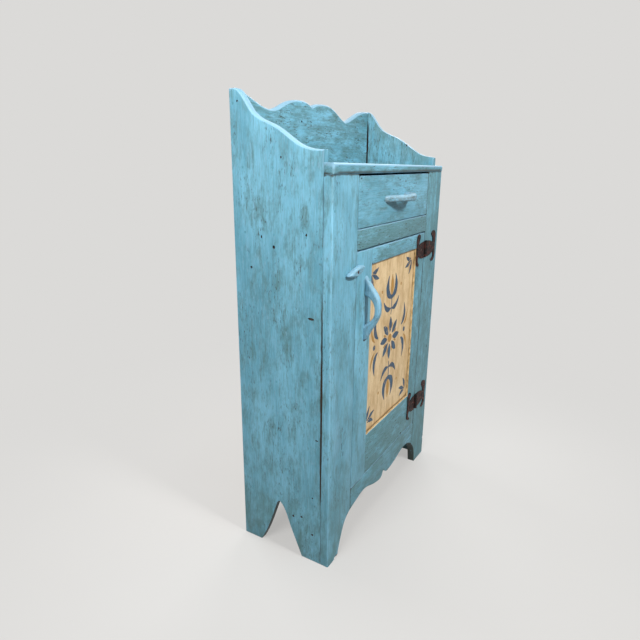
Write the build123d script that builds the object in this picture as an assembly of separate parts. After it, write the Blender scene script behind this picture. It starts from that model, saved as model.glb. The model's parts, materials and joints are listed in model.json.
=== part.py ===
from build123d import *
import math
import os

# A painted pine milk cupboard: one drawer over one panelled door, between board
# sides that rise into a shaped gallery. Millimetres, Z up from the floor, X to the
# right seen from the front, and the front looks along -Y.

# Carcase
over_width = 700
over_height = 1200
side_depth = 254
side_thick = 19
top_thick = 25
top_fall = 8
gallery_rise = 160
lip_overhang = 2
lip_round = 6
shelf_thick = 18
shelf_height_share = 0.484
shelf_setback = 12
gallery_thick = 18
gallery_round = 7
crest_round = 5
plank_count = 4
plank_thick = 12
plank_foot = 25
plank_lap = 8
plank_gap = 1.5
rabbet_wide = 9
housing_deep = 6

# Face frame and the lines on the front
frame_thick = 24
stile_round = 4
left_stile_wide = 121
right_stile_wide = 118
drawer_high = 129
rail_high = 50
door_sill = 173
arch_high = 121
notch_high = 150
tenon_thick = 8
tenon_long = 32
tenon_shoulder = 8

# Drawer and what it runs on
drawer_gap = 1.5
drawer_head_gap = 5
drawer_sill_gap = 2
drawer_front_thick = 20
drawer_side_thick = 12
drawer_back_thick = 12
drawer_bottom_thick = 7
drawer_bottom_up = 9
drawer_groove = 5
drawer_lap = 11
drawer_room_behind = 26
drawer_side_drop = 10
slide_gap = 0.4
runner_thick = 20
runner_in = 25
guide_thick = 18
guide_high = 26
stop_high = 16
stop_wide = 30
stop_gap = 1

# Door
door_gap = 2
door_head_gap = 4
door_back_gap = 1
door_left_wide = 84
door_right_wide = 62
door_top_wide = 42
door_bottom_wide = 125
panel_recess = 8
panel_thick = 9
panel_groove = 9
panel_play = 1.5
door_tenon_long = 45
door_tenon_shoulder = 7
door_stop_thick = 12
door_stop_cover = 14
door_stop_hold = 22
door_stop_long = 170
door_stop_down = 60

# Carved bow handles
bow_long = 176
bow_reach = 44
bow_wide = 18
bow_round = 7
bow_nail_share = 0.075
bow_nail_bite = 9
door_bow_down = 66
door_bow_in = 54
pull_middle = 8
pull_up = 65.5
pull_tilt = 1.5

# Turn button
button_long = 84
button_high = 22
button_thick = 12
button_bevel = 4
button_tilt = 6.5
button_inset = 16
button_drop = 47.5
washer_thick = 1.5
washer_radius = 8
screw_radius = 2.2
screw_head_radius = 4
screw_head_thick = 2.4
screw_slot_wide = 1
screw_slot_deep = 1
screw_bite = 18
turn_clearance = 0.1

# Iron hinges
hinge_half_high = 50
frame_leaf_reach = 95
door_leaf_reach = 66
leaf_thick = 3
knuckle_radius = 5.2
knuckle_high = 48
knuckle_gap = 0.4
knuckle_lift = 0.4
pin_radius = 2.4
pin_clearance = 0.05
pin_over = 2
swing_clearance = 0.5
upper_hinge_down = 50
lower_hinge_up = 80
leaf_screw_radius = 1.7
leaf_screw_head = 3.6
leaf_screw_dome = 1.4
leaf_screw_long = 16

# Wire nails
nail_radius = 1.4
nail_head_radius = 3.2
nail_head_thick = 1.2
nail_long = 48
nail_short = 30

# A cut runs this far past the piece that it cuts
overrun = 5

# Places worked out from the sizes above
half_width = over_width / 2
depth_over_all = side_depth + frame_thick + bow_reach
y_back = depth_over_all / 2
y_side = y_back - side_depth
y_face = y_side - frame_thick
y_plank = y_back - plank_thick
x_inside = half_width - side_thick
x_left = left_stile_wide - half_width
x_right = half_width - right_stile_wide
top_level = over_height - gallery_rise
top_under = top_level - top_thick
drawer_sill = top_under - drawer_high
door_head = drawer_sill - rail_high
shelf_level = door_sill + shelf_height_share * (door_head - door_sill)
door_thick = frame_thick - door_back_gap
door_x0 = x_left + door_gap
door_x1 = x_right - door_gap
door_z0 = door_sill + door_gap
door_z1 = door_head - door_head_gap
door_y1 = y_face + door_thick
panel_x0 = door_x0 + door_left_wide
panel_x1 = door_x1 - door_right_wide
panel_z0 = door_z0 + door_bottom_wide
panel_z1 = door_z1 - door_top_wide
panel_y0 = y_face + panel_recess
panel_y1 = panel_y0 + panel_thick
drawer_x0 = x_left + drawer_gap
drawer_x1 = x_right - drawer_gap
drawer_z0 = drawer_sill + slide_gap
drawer_z1 = top_under - drawer_head_gap
drawer_y1 = y_plank - drawer_room_behind
front_y1 = y_face + drawer_front_thick
pin_x = x_right - door_gap / 2
pin_y = y_face - knuckle_radius - knuckle_lift
button_x = x_left - button_inset
button_z = door_head - button_drop
door_bow_x = door_x0 + door_bow_in
door_bow_foot = door_z1 - door_bow_down - bow_long
upper_hinge_level = door_z1 - upper_hinge_down
lower_hinge_level = door_z0 + lower_hinge_up

# Outlines, as shares of the sizes that they follow: first the share along the
# board's depth, half width or length, then the share of the height
side_top_shares = (
    (0.895, 0.965), (0.857, 0.9), (0.803, 0.783), (0.742, 0.668), (0.671, 0.593), (0.552, 0.516),
    (0.44, 0.427), (0.33, 0.312),
)
left_shoulder_shares = ((0.213, 0.214), (0.127, 0.179), (0, 0.169))
right_shoulder_shares = ((0.216, 0.197), (0.148, 0.149), (0.081, 0.125), (0, 0.106))
side_flat_share = 0.93
notch_shares = (
    (0.232, 0), (0.311, 0.307), (0.39, 0.62), (0.468, 0.92), (0.516, 1), (0.56, 0.88),
    (0.634, 0.52), (0.677, 0.327), (0.768, 0),
)
gallery_left_shares = (
    (-1, 0.994), (-0.906, 0.9375), (-0.792, 0.853), (-0.71, 0.806), (-0.634, 0.79), (-0.559, 0.819),
    (-0.453, 0.906), (-0.341, 0.975), (-0.23, 0.996), (-0.127, 0.978), (-0.051, 0.919),
)
gallery_middle_shares = (
    (-0.051, 0.919), (0.015, 0.97), (0.13, 0.996), (0.242, 0.981), (0.347, 0.912), (0.438, 0.822),
    (0.532, 0.75),
)
gallery_right_shares = ((0.532, 0.75), (0.619, 0.8), (0.734, 0.894), (0.846, 0.972), (0.921, 0.995), (1, 1))
arch_left_shares = (
    (-0.851, 0), (-0.826, 0.223), (-0.786, 0.496), (-0.729, 0.752), (-0.654, 0.872), (-0.557, 0.94),
    (-0.449, 1), (-0.343, 0.973), (-0.251, 0.876), (-0.171, 0.806), (-0.094, 0.777), (-0.051, 0.81),
    (-0.029, 0.885), (-0.014, 0.95),
)
arch_right_shares = (
    (-0.014, 0.95), (0.006, 0.88), (0.04, 0.81), (0.103, 0.78), (0.183, 0.8), (0.269, 0.85),
    (0.351, 0.91), (0.434, 0.955), (0.529, 0.926), (0.609, 0.84), (0.671, 0.7), (0.72, 0.52),
    (0.749, 0.3), (0.76, 0.12), (0.766, 0),
)
bow_low_shares = ((0, 0), (0.05, 0.17), (0.16, 0.4), (0.31, 0.76), (0.42, 0.95), (0.55, 1))
bow_high_shares = ((0.55, 1), (0.66, 0.93), (0.755, 0.74), (0.86, 0.4), (0.945, 0.16), (1, 0))
bow_grip_shares = (
    (0.7, 0), (0.685, 0.22), (0.64, 0.44), (0.57, 0.59), (0.485, 0.635), (0.4, 0.56), (0.325, 0.33),
    (0.26, 0),
)
button_crown_shares = ((-0.5, 0), (-0.3, 0.24), (-0.06, 0.39), (0.2, 0.49), (0.5, 0.1))
button_base_shares = ((0.5, 0.1), (0.34, -0.3), (0.08, -0.52), (-0.2, -0.44), (-0.5, 0))
leaf_body_shares = ((0, 0.44), (0.25, 0.45), (0.55, 0.37), (0.76, 0.22))
leaf_neck_shares = ((0.76, 0.22), (0.74, 0.46), (0.6, 0.78))
leaf_crown_shares = ((0.6, 0.78), (0.66, 0.94), (0.81, 1))
leaf_outer_shares = ((0.81, 1), (0.98, 0.76), (0.99, 0.4), (0.96, 0), (1, -0.45), (0.95, -0.84), (0.77, -1))
leaf_curl_shares = ((0.77, -1), (0.68, -0.93), (0.82, -0.72), (0.84, -0.52), (0.75, -0.34))
leaf_under_shares = ((0.75, -0.34), (0.56, -0.49), (0.36, -0.55), (0, -0.56))
leaf_screw_shares = ((0.27, -0.05), (0.72, 0.7), (0.72, -0.08))
side_nail_shares = (0.177, 0.53, 0.87)
stile_nail_shares = (0.085, 0.269, 0.616, 0.924)

front_plane = Plane.XZ
side_plane = Plane.YZ


def block(x0, x1, y0, y1, z0, z1):
    """A squared board between the given faces, in either order."""
    middle = Pos((x0 + x1) / 2, (y0 + y1) / 2, (z0 + z1) / 2)
    return middle * Box(abs(x1 - x0), abs(y1 - y0), abs(z1 - z0))


def scaled(shares, across, up, x=0, z=0):
    """Points of an outline: each share times its size, from the point x, z."""
    return [(x + a * across, z + b * up) for a, b in shares]


def sawn(lines, plane, start, end):
    """A board sawn to a closed outline, between two distances along the plane's normal."""
    return extrude(plane.offset(start) * make_face(lines), end - start)


def front_sawn(lines, y0, y1):
    """The same for an outline seen from the front, between two depths."""
    return sawn(lines, front_plane, -y1, -y0)


def one(shape):
    """The shape as a single clean solid."""
    return shape.solids()[0].clean()


def rod(radius, start, end):
    """A round bar between two points."""
    line = Vector(*end) - Vector(*start)
    plane = Plane(origin=start, z_dir=line)
    return plane * Cylinder(radius, line.length, align=(Align.CENTER, Align.CENTER, Align.MIN))


def nail(point, way, long):
    """A wire nail driven at a point of the surface, its head flush with it."""
    start = Vector(*point)
    along = Vector(*way)
    head = rod(nail_head_radius, start, start + along * nail_head_thick)
    shank = rod(nail_radius, start, start + along * long)
    return head + shank


def nail_group(places, way, long):
    """Several nails driven the same way, as one group of separate solids."""
    return Compound(children=[one(nail(place, way, long)) for place in places])


# Fastenings, placed first because the boards are bored for them
def carried_levels():
    """The middle height of each board that is nailed through the sides."""
    return {
        "bottom": door_sill - shelf_thick / 2,
        "shelf": shelf_level + shelf_thick / 2,
        "runner": drawer_sill - runner_thick / 2,
        "top": top_level - top_thick / 2,
    }


def side_nail_places(sign):
    """Where nails enter one side board, sign -1 for the left and 1 for the right."""
    face = sign * half_width
    rows = [y_side + share * side_depth for share in side_nail_shares]
    places = [(face, y, z) for z in carried_levels().values() for y in rows]
    gallery_y = y_back - gallery_thick / 2
    gallery_levels = (top_level + gallery_rise / 3, over_height - gallery_rise / 5)
    return places + [(face, gallery_y, z) for z in gallery_levels]


def side_nails(sign):
    return nail_group(side_nail_places(sign), (-sign, 0, 0), nail_long)


def stile_nails():
    """Nails through the front frame into the edges of the sides."""
    x = half_width - side_thick / 2
    levels = [share * top_under for share in stile_nail_shares]
    places = [(sign * x, y_face, z) for sign in (-1, 1) for z in levels]
    return nail_group(places, (0, 1, 0), nail_long)


def plank_edges():
    """The left and right edge of each back plank, laps left out."""
    x0 = -x_inside - rabbet_wide
    wide = -2 * x0 / plank_count
    return [(x0 + n * wide, x0 + (n + 1) * wide) for n in range(plank_count)]


def back_nails():
    """Nails through the back planks into the boards behind the front."""
    levels = carried_levels()
    places = []
    for x0, x1 in plank_edges():
        for name in ("bottom", "shelf", "top"):
            places += [(x0 + (x1 - x0) / 3, y_back, levels[name])]
            places += [(x1 - (x1 - x0) / 3, y_back, levels[name])]
    return nail_group(places, (0, -1, 0), nail_short)


# Carcase
def notch_cutter():
    """The pointed cut-out that leaves two feet on a side board, right through both sides."""
    points = scaled(notch_shares, side_depth, notch_high, y_side)
    lines = Spline(*points)
    lines += Polyline(points[-1], (points[-1][0], -overrun), (points[0][0], -overrun), points[0])
    return sawn(lines, side_plane, -half_width - overrun, half_width + overrun)


def surface_level(x):
    """The height of the top's upper face, which falls a little towards the right."""
    return top_level - top_fall * (x + half_width) / over_width


def planed_off():
    """What planing took off the top board: nothing at its left end, most at its right."""
    left = (-half_width, surface_level(-half_width))
    right = (half_width, surface_level(half_width))
    lines = Polyline(left, right, (half_width, over_height), (-half_width, over_height), left)
    return front_sawn(lines, y_face - overrun, y_back + overrun)


def top_board(nails):
    """The top: housed in the sides, with a lip that covers the front frame."""
    x = x_inside + housing_deep
    board = block(-x, x, y_side, y_back, top_under, top_level)
    lip = block(-half_width, half_width, y_face - lip_overhang, y_side, top_under, top_level)
    lip -= planed_off()
    lip = fillet(lip.faces().sort_by(Axis.Y)[0].edges(), lip_round)
    return one(board - planed_off() + lip - nails)


def bottom_shelf(nails):
    """The cupboard's floor, level with the top of the apron and housed in the sides."""
    x = x_inside + housing_deep
    return one(block(-x, x, y_side, y_plank, door_sill - shelf_thick, door_sill) - nails)


def middle_shelf(nails):
    """The shelf inside, butted between the sides and nailed through them."""
    z1 = shelf_level + shelf_thick
    return one(block(-x_inside, x_inside, y_side + shelf_setback, y_plank, shelf_level, z1) - nails)


def side_board(sign, nails):
    """A side: one wide board, shaped at the top and notched at the foot."""
    shares = side_top_shares + (left_shoulder_shares if sign < 0 else right_shoulder_shares)
    crest = scaled(shares, side_depth, gallery_rise, y_side, top_level)
    flat_y = y_side + side_flat_share * side_depth
    lines = Polyline(crest[-1], (y_side, 0), (y_back, 0), (y_back, over_height), (flat_y, over_height))
    lines += Spline((flat_y, over_height), *crest)
    board = sawn(lines, side_plane, sign * x_inside, sign * half_width)
    outer_face = board.faces().sort_by(Axis.X)[0 if sign < 0 else -1]
    board = fillet(outer_face.edges().filter_by(GeomType.BSPLINE), crest_round)
    board -= notch_cutter()
    x = x_inside + rabbet_wide
    board -= block(-x, x, y_plank, y_back + overrun, plank_foot, top_under)
    board -= top_board(nails)
    board -= bottom_shelf(nails)
    return one(board - nails)


def gallery_back(nails):
    """The shaped board that stands on the top at the back, between the sides."""
    parts = []
    for shares in (gallery_left_shares, gallery_middle_shares, gallery_right_shares):
        parts.append(scaled(shares, x_inside, gallery_rise, 0, top_level))
    lines = Spline(*parts[0]) + Spline(*parts[1]) + Spline(*parts[2])
    right = parts[2][-1]
    left = parts[0][0]
    feet = [(x, surface_level(x)) for x in (x_inside, -x_inside)]
    lines += Polyline(right, *feet, left)
    board = front_sawn(lines, y_back - gallery_thick, y_back)
    front_face = board.faces().sort_by(Axis.Y)[0]
    board = fillet(front_face.edges().filter_by(GeomType.BSPLINE), gallery_round)
    return one(board - nails)


def back_plank(number, nails):
    """One upright back plank, half-lapped over the next with a gap for movement."""
    x0, x1 = plank_edges()[number]
    first = number == 0
    last = number == plank_count - 1
    z = (plank_foot, top_under)
    lap_y = y_plank + plank_thick / 2
    front_x1 = x1 if last else x1 - plank_gap
    back_x0 = x0 if first else x0 + plank_lap + plank_gap
    back_x1 = x1 if last else x1 + plank_lap
    plank = block(x0, front_x1, y_plank, lap_y, *z)
    plank += block(back_x0, back_x1, lap_y, y_back, *z)
    return one(plank - nails)


# Face frame
def arch_cutter():
    """The scalloped space under the front, between the feet."""
    left = scaled(arch_left_shares, half_width, arch_high)
    right = scaled(arch_right_shares, half_width, arch_high)
    lines = Spline(*left) + Spline(*right)
    lines += Polyline(right[-1], (right[-1][0], -overrun), (left[0][0], -overrun), left[0])
    return front_sawn(lines, y_face - overrun, y_side + overrun)


def frame_tenons(z0, z1):
    """The tenons of a frame rail, one in each stile, cut back from the rail's edges."""
    y = y_face + (frame_thick - tenon_thick) / 2
    z0 += tenon_shoulder
    z1 -= tenon_shoulder
    return block(x_left - tenon_long, x_right + tenon_long, y, y + tenon_thick, z0, z1)


def drawer_rail():
    rail = block(x_left, x_right, y_face, y_side, door_head, drawer_sill)
    return one(rail + frame_tenons(door_head, drawer_sill))


def apron():
    """The scalloped rail under the door."""
    rail = block(x_left, x_right, y_face, y_side, 0, door_sill) - arch_cutter()
    return one(rail + frame_tenons(arch_high, door_sill))


def stile(sign, nails):
    """An upright of the front frame, shaped into a foot, with mortises for the rails."""
    inner = x_left if sign < 0 else x_right
    board = block(inner, sign * half_width, y_face, y_side, 0, top_under)
    corner = board.edges().filter_by(Axis.Z).group_by(Axis.Y)[0].sort_by(Axis.X)[0 if sign < 0 else -1]
    board = fillet(corner, stile_round)
    board -= arch_cutter()
    board -= frame_tenons(door_head, drawer_sill)
    board -= frame_tenons(arch_high, door_sill)
    return one(board - nails)


def door_stop():
    """The strip behind the left stile that the closed door meets."""
    z1 = door_z1 - door_stop_down
    x0 = x_left - door_stop_hold
    x1 = x_left + door_stop_cover
    return block(x0, x1, y_side, y_side + door_stop_thick, z1 - door_stop_long, z1)


# What carries the drawer
def runner(sign, nails):
    """The board that the drawer's side slides on, nailed through the side."""
    edge = x_left + runner_in if sign < 0 else x_right - runner_in
    z0 = drawer_sill - runner_thick
    board = block(edge, sign * x_inside, y_side, y_plank, z0, drawer_sill)
    return one(board - nails)


def guide(sign):
    """The strip on the runner that keeps the drawer square."""
    inner = x_left if sign < 0 else x_right
    z1 = drawer_sill + guide_high
    return block(inner, inner + sign * guide_thick, y_side, y_plank, drawer_sill, z1)


def drawer_stops():
    """Two blocks behind the drawer that stop it flush with the front."""
    y0 = drawer_y1 + stop_gap
    z1 = drawer_sill + stop_high
    starts = (x_left, x_right - stop_wide)
    return Compound(children=[block(x, x + stop_wide, y0, y_plank, drawer_sill, z1) for x in starts])


# Carved bow handle, drawn with its length along X and standing out along Y
def bow():
    low = scaled(bow_low_shares, bow_long, bow_reach)
    high = scaled(bow_high_shares, bow_long, bow_reach)
    grip = scaled(bow_grip_shares, bow_long, bow_reach)
    level = (1, 0)
    outer = Spline(*low, tangents=(Vector(*low[1]) - Vector(*low[0]), level))
    outer += Spline(*high, tangents=(level, Vector(*high[-1]) - Vector(*high[-2])))
    lines = outer + Line(high[-1], grip[0]) + Spline(*grip) + Line(grip[-1], low[0])
    body = extrude(make_face(lines), bow_wide / 2, both=True)
    long = [e for e in body.edges() if abs(e.center().Z) > bow_wide / 4]
    curved = [e for e in long if e.geom_type != GeomType.LINE]
    return one(fillet(curved, bow_round))


def bow_nails():
    """A nail through each foot of the handle, square to the surface behind."""
    nails = []
    for share in (bow_nail_share, 1 - bow_nail_share):
        x = share * bow_long
        height = bow_reach * foot_share(share)
        nails.append(one(nail((x, height, 0), (0, -1, 0), height + bow_nail_bite)))
    return nails


def foot_share(share):
    """How far the handle stands out at a share of its length near a tip."""
    shares = bow_low_shares if share < 0.5 else bow_high_shares
    for (a0, b0), (a1, b1) in zip(shares, shares[1:]):
        if a0 <= share <= a1:
            return b0 + (b1 - b0) * (share - a0) / (a1 - a0)
    return 0


def door_bow_place():
    """Up the door's free stile: the length along Z, standing out to the front."""
    return Plane(origin=(door_bow_x, y_face, door_bow_foot), x_dir=(0, 0, 1), z_dir=(1, 0, 0))


def drawer_bow_place():
    """Across the drawer, a few degrees out of level."""
    level = drawer_sill + pull_up
    middle = Plane(origin=(pull_middle, y_face, level), x_dir=(1, 0, 0), z_dir=(0, 0, 1))
    turned = Plane(middle.location * Rot(0, -pull_tilt, 0))
    start = turned.from_local_coords((-bow_long / 2, 0, 0))
    return Plane(origin=start, x_dir=turned.x_dir, z_dir=-turned.z_dir)


def placed_bow(place):
    nails = Compound(children=bow_nails())
    return one(place * (bow() - nails))


def placed_bow_nails(place):
    return Compound(children=[place * each for each in bow_nails()])


# Drawer
def drawer_side_blank(sign):
    edge = drawer_x0 if sign < 0 else drawer_x1
    inner = edge - sign * drawer_side_thick
    return block(edge, inner, y_face + drawer_lap, drawer_y1, drawer_z0, drawer_z1 - drawer_side_drop)


def drawer_bottom():
    """The bottom, let into grooves in the sides and front and running under the back."""
    x0 = drawer_x0 + drawer_side_thick - drawer_groove
    x1 = drawer_x1 - drawer_side_thick + drawer_groove
    z0 = drawer_z0 + drawer_bottom_up
    return block(x0, x1, front_y1 - drawer_groove, drawer_y1, z0, z0 + drawer_bottom_thick)


def drawer_side(sign):
    return one(drawer_side_blank(sign) - drawer_bottom())


def drawer_back():
    x0 = drawer_x0 + drawer_side_thick
    x1 = drawer_x1 - drawer_side_thick
    z0 = drawer_z0 + drawer_bottom_up + drawer_bottom_thick
    return block(x0, x1, drawer_y1 - drawer_back_thick, drawer_y1, z0, drawer_z1 - drawer_side_drop)


def drawer_front(nails):
    """The front, set flush in the frame and rabbeted for the sides."""
    front = block(drawer_x0, drawer_x1, y_face, front_y1, drawer_sill + drawer_sill_gap, drawer_z1)
    front -= drawer_side_blank(-1) + drawer_side_blank(1)
    return one(front - drawer_bottom() - nails)


# Door
def panel_pocket():
    """The groove round the door's opening, with room for the panel to move."""
    deep = panel_groove
    x = (panel_x0 - deep, panel_x1 + deep)
    return block(*x, panel_y0, panel_y1, panel_z0 - deep, panel_z1 + deep)


def door_panel():
    deep = panel_groove - panel_play
    x = (panel_x0 - deep, panel_x1 + deep)
    return block(*x, panel_y0, panel_y1, panel_z0 - deep, panel_z1 + deep)


def door_tenons(z0, z1):
    """A door rail's tenons, in line with the panel's groove and clear of it."""
    x = (panel_x0 - door_tenon_long, panel_x1 + door_tenon_long)
    return block(*x, panel_y0, panel_y1, z0, z1)


def top_tenons():
    return door_tenons(panel_z1 + panel_groove, door_z1 - door_tenon_shoulder)


def bottom_tenons():
    return door_tenons(door_z0 + door_tenon_shoulder, panel_z0 - panel_groove)


def door_stile(sign, fixings):
    inner = panel_x0 if sign < 0 else panel_x1
    outer = door_x0 if sign < 0 else door_x1
    board = block(inner, outer, y_face, door_y1, door_z0, door_z1)
    board -= panel_pocket() + top_tenons() + bottom_tenons()
    return one(board - fixings)


def door_rail(z0, z1, tenons, fixings):
    rail = block(panel_x0, panel_x1, y_face, door_y1, z0, z1)
    return one(rail + tenons - panel_pocket() - fixings)


# Turn button
def button_frame():
    """The button's own plane: length along X, height along Y, its back at Z zero."""
    back = y_face - washer_thick
    level = Plane(origin=(button_x, back, button_z), x_dir=(1, 0, 0), z_dir=(0, -1, 0))
    return Plane(level.location * Rot(0, 0, button_tilt))


def turn_button():
    """A leaf-shaped wooden button with bevelled edges, bored for its screw."""
    crown = scaled(button_crown_shares, button_long, button_high)
    base = scaled(button_base_shares, button_long, button_high)
    body = extrude(make_face(Spline(*crown) + Spline(*base)), button_thick)
    body = chamfer(body.edges().group_by(Axis.Z)[-1], button_bevel)
    seat = button_thick - screw_head_thick
    body -= rod(screw_radius + turn_clearance, (0, 0, -overrun), (0, 0, button_thick))
    body -= rod(screw_head_radius + turn_clearance, (0, 0, seat), (0, 0, button_thick + overrun))
    return one(button_frame() * body)


def button_screw():
    """The screw that the button turns on."""
    seat = (0, 0, button_thick - screw_head_thick + turn_clearance)
    body = rod(screw_radius, (0, 0, -washer_thick - screw_bite), seat)
    body += rod(screw_head_radius, seat, (0, 0, button_thick))
    slot = Box(2 * screw_head_radius, screw_slot_wide, 2 * screw_slot_deep)
    return one(button_frame() * (body - Pos(0, 0, button_thick) * slot))


def button_washer():
    """The washer that holds the button clear of the frame and door."""
    low = (0, 0, -washer_thick)
    ring = rod(washer_radius, low, (0, 0, 0)) - rod(screw_radius, low, (0, 0, 0))
    return one(button_frame() * ring)


# Hinges
def leaf_outline(reach):
    """One leaf seen from the front: a short body with an arm curling up and one down."""
    rows = (
        leaf_body_shares, leaf_neck_shares, leaf_crown_shares, leaf_outer_shares, leaf_curl_shares,
        leaf_under_shares,
    )
    lines = Curve()
    for shares in rows:
        lines += Spline(*scaled(shares, reach, hinge_half_high))
    return lines + Line(lines @ 1, lines @ 0)


def knuckle_bands(owner, level):
    """From what height to what height each knuckle of a leaf runs: two outer, one between."""
    end = knuckle_high / 2
    near = end / 3
    if owner == "frame":
        return ((level - end, level - near), (level + near, level + end))
    return ((level - near + knuckle_gap, level + near - knuckle_gap),)


def hinge_leaf(owner, level, screws):
    """A leaf on the frame or the door, with its knuckles rolled round the pin."""
    sign = 1 if owner == "frame" else -1
    reach = frame_leaf_reach if owner == "frame" else door_leaf_reach
    face = make_face(leaf_outline(reach))
    if sign < 0:
        face = mirror(face, Plane.YZ)
    plate = Pos(pin_x, y_face, level) * extrude(Plane.XZ * face, leaf_thick)
    low = level - hinge_half_high
    high = level + hinge_half_high
    plate -= rod(knuckle_radius + swing_clearance, (pin_x, pin_y, low), (pin_x, pin_y, high))
    reached = pin_x + sign * (knuckle_radius + 2 * swing_clearance)
    for z0, z1 in knuckle_bands(owner, level):
        plate += block(pin_x + sign * swing_clearance, reached, y_face - leaf_thick, y_face, z0, z1)
        plate += rod(knuckle_radius, (pin_x, pin_y, z0), (pin_x, pin_y, z1))
    plate -= rod(pin_radius + pin_clearance, (pin_x, pin_y, low), (pin_x, pin_y, high))
    return one(plate - screws)


def hinge_pin(level):
    """The loose pin, standing a little above and below the knuckles."""
    half = knuckle_high / 2 + pin_over
    return rod(pin_radius, (pin_x, pin_y, level - half), (pin_x, pin_y, level + half))


def leaf_screws(owner):
    """Round-headed screws of both leaves on the frame or on the door."""
    sign = 1 if owner == "frame" else -1
    reach = frame_leaf_reach if owner == "frame" else door_leaf_reach
    screws = []
    for level in (upper_hinge_level, lower_hinge_level):
        for x, z in scaled(leaf_screw_shares, sign * reach, hinge_half_high, pin_x, level):
            front = y_face - leaf_thick
            dome_radius = (leaf_screw_head**2 + leaf_screw_dome**2) / (2 * leaf_screw_dome)
            ball = Pos(x, front - leaf_screw_dome + dome_radius, z) * Sphere(dome_radius)
            head = ball & rod(leaf_screw_head, (x, front - overrun, z), (x, front, z))
            shank = rod(leaf_screw_radius, (x, front, z), (x, front + leaf_screw_long, z))
            screws.append(one(head + shank))
    return Compound(children=screws)


def build():
    left_nails = side_nails(-1)
    right_nails = side_nails(1)
    both_nails = left_nails + right_nails
    front_nails = stile_nails()
    rear_nails = back_nails()
    frame_screws = leaf_screws("frame")
    door_screws = leaf_screws("door")
    door_place = door_bow_place()
    drawer_place = drawer_bow_place()
    door_bow_nails = placed_bow_nails(door_place)
    drawer_bow_nails = placed_bow_nails(drawer_place)
    inner_nails = both_nails + rear_nails
    nodes = {
        "left_side": side_board(-1, left_nails + front_nails),
        "right_side": side_board(1, right_nails + front_nails),
        "top_board": top_board(inner_nails),
        "bottom_shelf": bottom_shelf(inner_nails),
        "middle_shelf": middle_shelf(inner_nails),
        "gallery_back": gallery_back(both_nails),
        "left_stile": stile(-1, front_nails + button_screw()),
        "right_stile": stile(1, front_nails + frame_screws),
        "drawer_rail": drawer_rail(),
        "apron": apron(),
        "door_stop": door_stop(),
        "drawer_runner_left": runner(-1, left_nails),
        "drawer_runner_right": runner(1, right_nails),
        "drawer_guide_left": guide(-1),
        "drawer_guide_right": guide(1),
        "drawer_stops": drawer_stops(),
        "left_side_nails": left_nails,
        "right_side_nails": right_nails,
        "stile_nails": front_nails,
        "back_nails": rear_nails,
        "button_screw": button_screw(),
        "button_washer": button_washer(),
        "turn_button": turn_button(),
        "drawer_front": drawer_front(drawer_bow_nails),
        "drawer_left_side": drawer_side(-1),
        "drawer_right_side": drawer_side(1),
        "drawer_back": drawer_back(),
        "drawer_bottom": drawer_bottom(),
        "drawer_pull": placed_bow(drawer_place),
        "drawer_pull_nails": drawer_bow_nails,
        "door_left_stile": door_stile(-1, door_bow_nails),
        "door_right_stile": door_stile(1, door_screws),
        "door_top_rail": door_rail(panel_z1, door_z1, top_tenons(), door_screws),
        "door_bottom_rail": door_rail(door_z0, panel_z0, bottom_tenons(), door_screws),
        "door_panel": door_panel(),
        "door_handle": placed_bow(door_place),
        "door_handle_nails": door_bow_nails,
        "door_leaf_screws": door_screws,
        "frame_leaf_screws": frame_screws,
    }
    for number in range(plank_count):
        nodes[f"back_plank_{number + 1}"] = back_plank(number, rear_nails)
    for name, level in (("upper", upper_hinge_level), ("lower", lower_hinge_level)):
        nodes[f"{name}_frame_leaf"] = hinge_leaf("frame", level, frame_screws)
        nodes[f"{name}_door_leaf"] = hinge_leaf("door", level, door_screws)
        nodes[f"{name}_hinge_pin"] = hinge_pin(level)
    return nodes


os.makedirs("parts", exist_ok=True)
for name, shape in build().items():
    export_step(shape, f"parts/{name}.step")
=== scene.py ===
# %% [markdown]
# # A painted milk cupboard
#
# The real object is a narrow pine cupboard, brushed with chalky blue milk paint,
# rubbed through at its edges and darkened by an umber glaze. Its construction is
# already solid: the frame that is loaded here holds every board, hinge and nail at
# its real size, in metres. This script gives those boards soft worn edges, dents,
# grain and paint, and lights them. It never moves them.

import json
import math

import bmesh
import bpy
import numpy as np
from mathutils import Matrix, Vector, noise


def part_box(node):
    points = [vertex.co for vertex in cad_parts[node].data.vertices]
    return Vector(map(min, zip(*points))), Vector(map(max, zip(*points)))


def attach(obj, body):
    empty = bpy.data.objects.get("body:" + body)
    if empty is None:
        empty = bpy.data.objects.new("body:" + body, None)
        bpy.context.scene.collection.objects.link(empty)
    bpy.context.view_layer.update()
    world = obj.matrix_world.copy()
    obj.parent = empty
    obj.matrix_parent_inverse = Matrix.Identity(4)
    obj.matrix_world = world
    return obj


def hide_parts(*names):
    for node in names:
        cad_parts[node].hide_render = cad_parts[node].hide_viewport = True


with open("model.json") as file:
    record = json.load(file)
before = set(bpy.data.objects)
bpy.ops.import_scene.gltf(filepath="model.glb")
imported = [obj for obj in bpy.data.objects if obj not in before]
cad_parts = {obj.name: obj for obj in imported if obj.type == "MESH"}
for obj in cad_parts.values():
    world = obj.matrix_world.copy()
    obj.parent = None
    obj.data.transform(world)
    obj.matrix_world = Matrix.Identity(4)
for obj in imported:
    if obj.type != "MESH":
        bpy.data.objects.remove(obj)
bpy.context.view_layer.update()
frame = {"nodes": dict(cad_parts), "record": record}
nodes = frame["nodes"]
bodies = frame["record"]["behaviour"]["bodies"]
body_of = {node: body for body, members in bodies.items() for node in members}
slot_of = {part["node"]: part["material_slot"] for part in frame["record"]["subparts"]}
MM = 0.001

# %% [markdown]
# ## Colour and nodes
#
# Colours are written as sRGB hex values, the way a paint chip is read off a screen.
# Blender's shaders work in linear light, so one function turns one into the other.
# A second small function adds any shader node, sets it and links it, which keeps
# each material short enough to read from top to bottom.

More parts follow.
